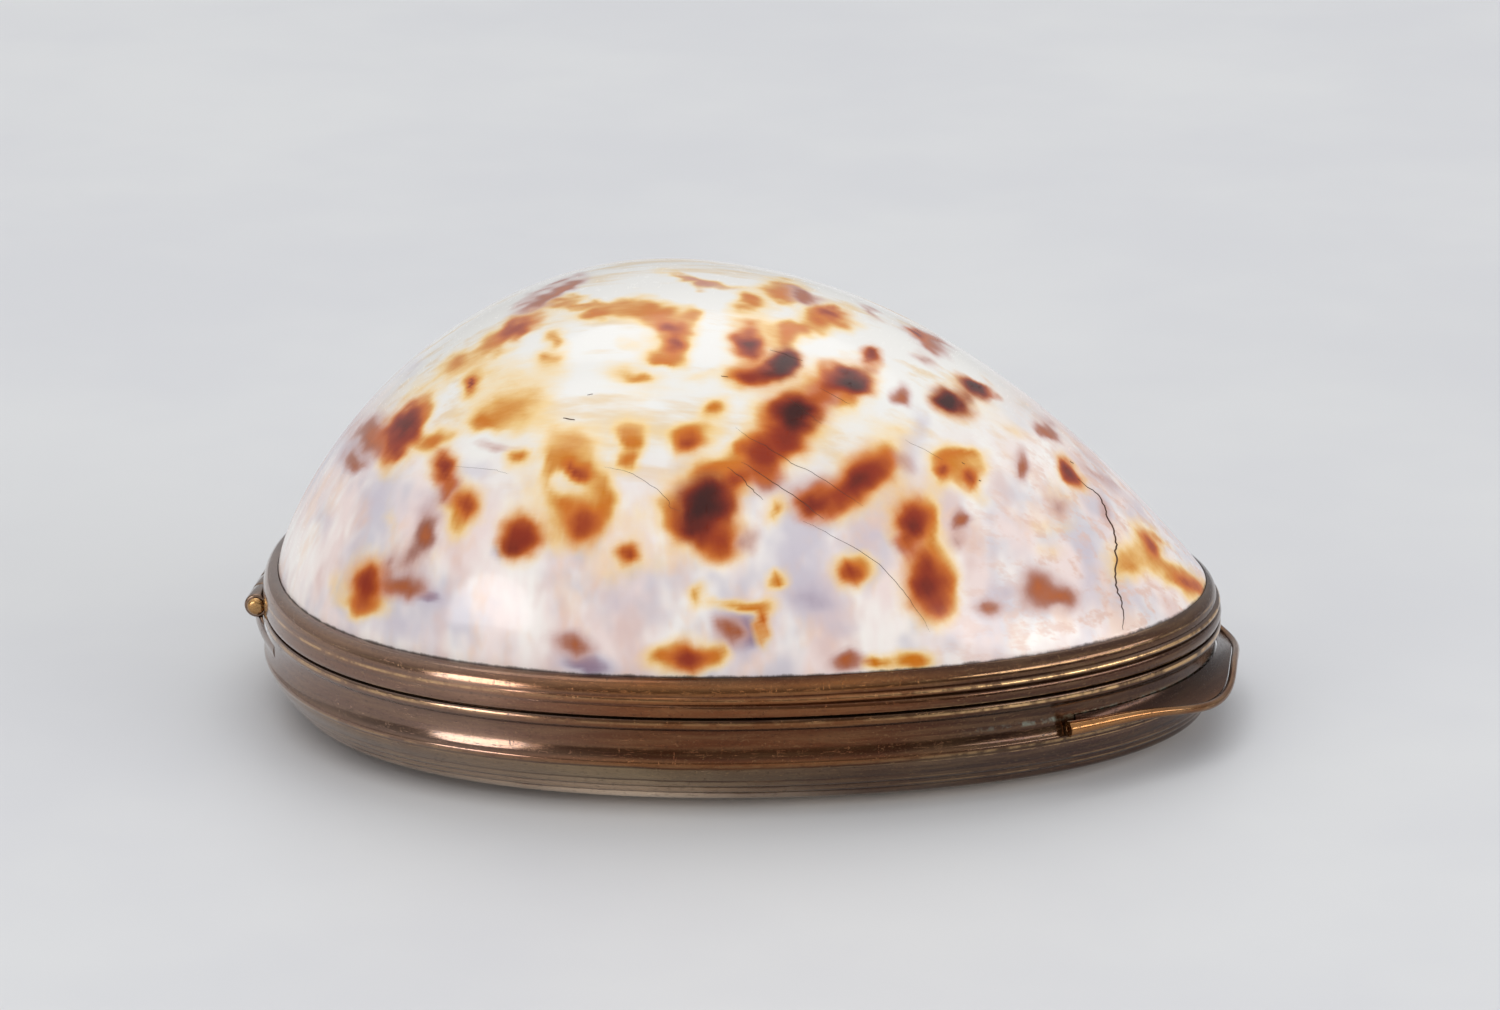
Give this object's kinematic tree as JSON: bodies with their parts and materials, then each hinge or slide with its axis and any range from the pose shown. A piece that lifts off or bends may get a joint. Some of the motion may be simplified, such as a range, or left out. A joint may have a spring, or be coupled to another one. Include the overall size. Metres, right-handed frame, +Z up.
{
  "type": "shell snuff box",
  "caption": "Cowrie shell snuff box: a spotted shell bowl in a moulded metal collar, hinged to a shallow moulded lid with a scalloped thumb lip.",
  "frame": {"origin": "middle of the lid's flat resting face", "axes": "+Z up, from the lid to the shell's crest; +X along the rim's length, from the hinge to the thumb lip"},
  "size_m": [0.0804, 0.0556, 0.0352],
  "materials": {
    "shell": "polished tiger cowrie, cream with brown and golden spots",
    "cement": "dark set mastic",
    "collar_metal": "brown tarnished, worn bright on the beads",
    "inner_metal": "dull, little worn",
    "lid_metal": "brown tarnished with a grey bloom",
    "plate_metal": "brown tarnished, finely scratched",
    "worn_metal": "rubbed golden"
  },
  "bodies": {
    "lid": {"lid_rim": "lid_metal", "lid_plate": "plate_metal", "lid_hinge_bearer": "lid_metal", "lid_knuckle_1": "lid_metal", "lid_knuckle_3": "lid_metal", "lid_knuckle_5": "lid_metal", "hinge_pin": "worn_metal", "thumb_plate": "worn_metal", "thumb_roll": "worn_metal"},
    "box": {"cowrie_shell": "shell", "cement_bed": "cement", "collar": "collar_metal", "bearing_lip": "inner_metal", "box_knuckle_2": "worn_metal", "box_knuckle_4": "worn_metal"}
  },
  "joints": [
    {"name": "lid_hinge", "type": "hinge", "parent": "lid", "child": "box", "pos_m": [-0.0388, 0, 0.0082], "axis": [0, -1, 0], "range_deg": [0, 105]}
  ]
}
